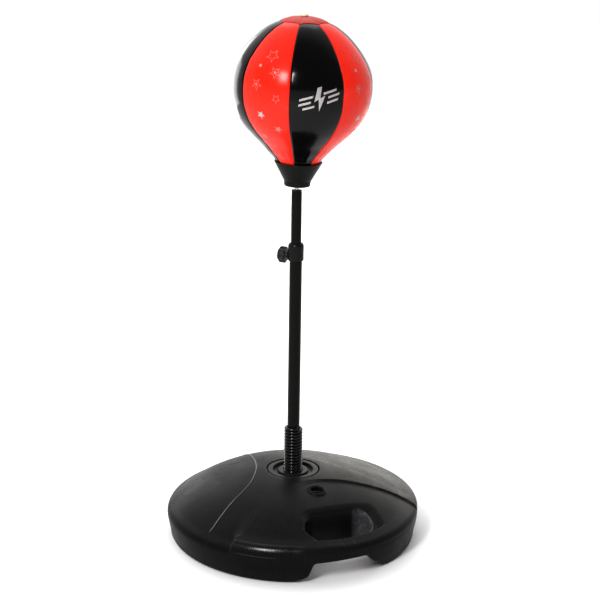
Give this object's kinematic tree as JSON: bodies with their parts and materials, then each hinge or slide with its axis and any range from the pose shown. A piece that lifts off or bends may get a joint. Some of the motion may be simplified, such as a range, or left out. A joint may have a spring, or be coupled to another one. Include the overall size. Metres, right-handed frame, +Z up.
{
  "type": "freestanding reflex punching ball",
  "caption": "Inflatable gored punching ball on a telescoping pole with a coil spring, standing on a ballast-filled domed base.",
  "frame": {"origin": "centre of the base's underside, on the floor", "axes": "+Z up along the pole, -Y towards the side with the fill plug and the hand hole, +X to the right seen from there"},
  "size_m": [0.4012, 0.4012, 0.8207],
  "materials": {
    "black_blow_moulded": "fine-grained matte black polyethylene",
    "sand": "dry sand",
    "plug_black": "satin black plastic",
    "seal_rubber": "matte black rubber",
    "hub_black": "satin black plastic",
    "zinc_steel": "zinc-plated steel",
    "spring_black": "gloss black coated spring steel",
    "tube_black": "semi-gloss black powder coat",
    "collar_black": "satin black plastic",
    "shoe_nylon": "natural nylon",
    "knob_black": "satin black plastic",
    "cup_black": "semi-gloss black plastic",
    "insert_brass": "machined brass",
    "red_vinyl": "glossy red vinyl",
    "black_vinyl": "glossy black vinyl",
    "bladder_rubber": "soft rubber",
    "valve_cream": "cream plastic"
  },
  "bodies": {
    "base": {"base_shell": "black_blow_moulded", "sand_ballast": "sand", "hub_ring": "hub_black", "spring_lower_plug": "zinc_steel", "base_washer": "zinc_steel", "base_nut": "zinc_steel"},
    "fill_stopper": {"fill_plug": "plug_black", "fill_plug_seal": "seal_rubber"},
    "spring": {"coil_spring": "spring_black"},
    "lower_pole": {"spring_upper_plug": "zinc_steel", "lower_tube": "tube_black", "clamp_collar": "collar_black", "clamp_nut": "zinc_steel"},
    "clamp_pad": {"clamp_shoe": "shoe_nylon"},
    "knob": {"knob_screw": "zinc_steel", "lock_knob": "knob_black"},
    "upper_pole": {"upper_tube": "tube_black", "tube_glide": "shoe_nylon", "tube_top_plug": "plug_black", "ball_stud": "zinc_steel"},
    "ball": {"ball_cup": "cup_black", "cup_thread_insert": "insert_brass", "ball_neck_flange": "cup_black", "ball_panel_1_black": "black_vinyl", "ball_panel_2_red": "red_vinyl", "ball_panel_3_black": "black_vinyl", "ball_panel_4_red": "red_vinyl", "ball_panel_5_black": "black_vinyl", "ball_panel_6_red": "red_vinyl", "ball_panel_7_black": "black_vinyl", "ball_panel_8_red": "red_vinyl", "crown_patch": "red_vinyl", "bladder": "bladder_rubber", "valve_body": "valve_cream"},
    "valve_cap": {"valve_plug": "valve_cream"}
  },
  "joints": [
    {"name": "spring_bend_side", "type": "hinge", "parent": "base", "child": "spring", "pos_m": [0, 0, 0.118], "axis": [0, 1, 0], "range_deg": [-35, 35], "stiffness_Nm_per_rad": 35, "deforming": ["coil_spring"]},
    {"name": "spring_bend_front", "type": "hinge", "parent": "spring", "child": "lower_pole", "pos_m": [0, 0, 0.154], "axis": [1, 0, 0], "range_deg": [-35, 35], "stiffness_Nm_per_rad": 35},
    {"name": "height_slide", "type": "slide", "parent": "lower_pole", "child": "upper_pole", "axis": [0, 0, 1], "range_m": [-0.08, 0.15]},
    {"name": "clamp_pad_slide", "type": "slide", "parent": "lower_pole", "child": "clamp_pad", "axis": [-0.9063, 0.4226, 0], "range_m": [0, 0.0008]},
    {"name": "knob_turn", "type": "hinge", "parent": "clamp_pad", "child": "knob", "pos_m": [0, 0, 0.4542], "axis": [-0.9063, 0.4226, 0], "range_deg": [0, 360]},
    {"name": "ball_unscrew", "type": "hinge", "parent": "upper_pole", "child": "ball", "pos_m": [0, 0, 0.57], "axis": [0, 0, 1], "range_deg": [0, 1440]},
    {"name": "fill_plug_pull", "type": "slide", "parent": "base", "child": "fill_stopper", "axis": [0.0883, -0.1691, 0.9816], "range_m": [0, 0.03]},
    {"name": "valve_plug_pull", "type": "slide", "parent": "ball", "child": "valve_cap", "axis": [0.0332, 0, 0.9995], "range_m": [0, 0.014]}
  ],
  "couplings": [
    {"joint": "clamp_pad_slide", "follows": "knob_turn", "m_per_rad": 0.00012732}
  ]
}
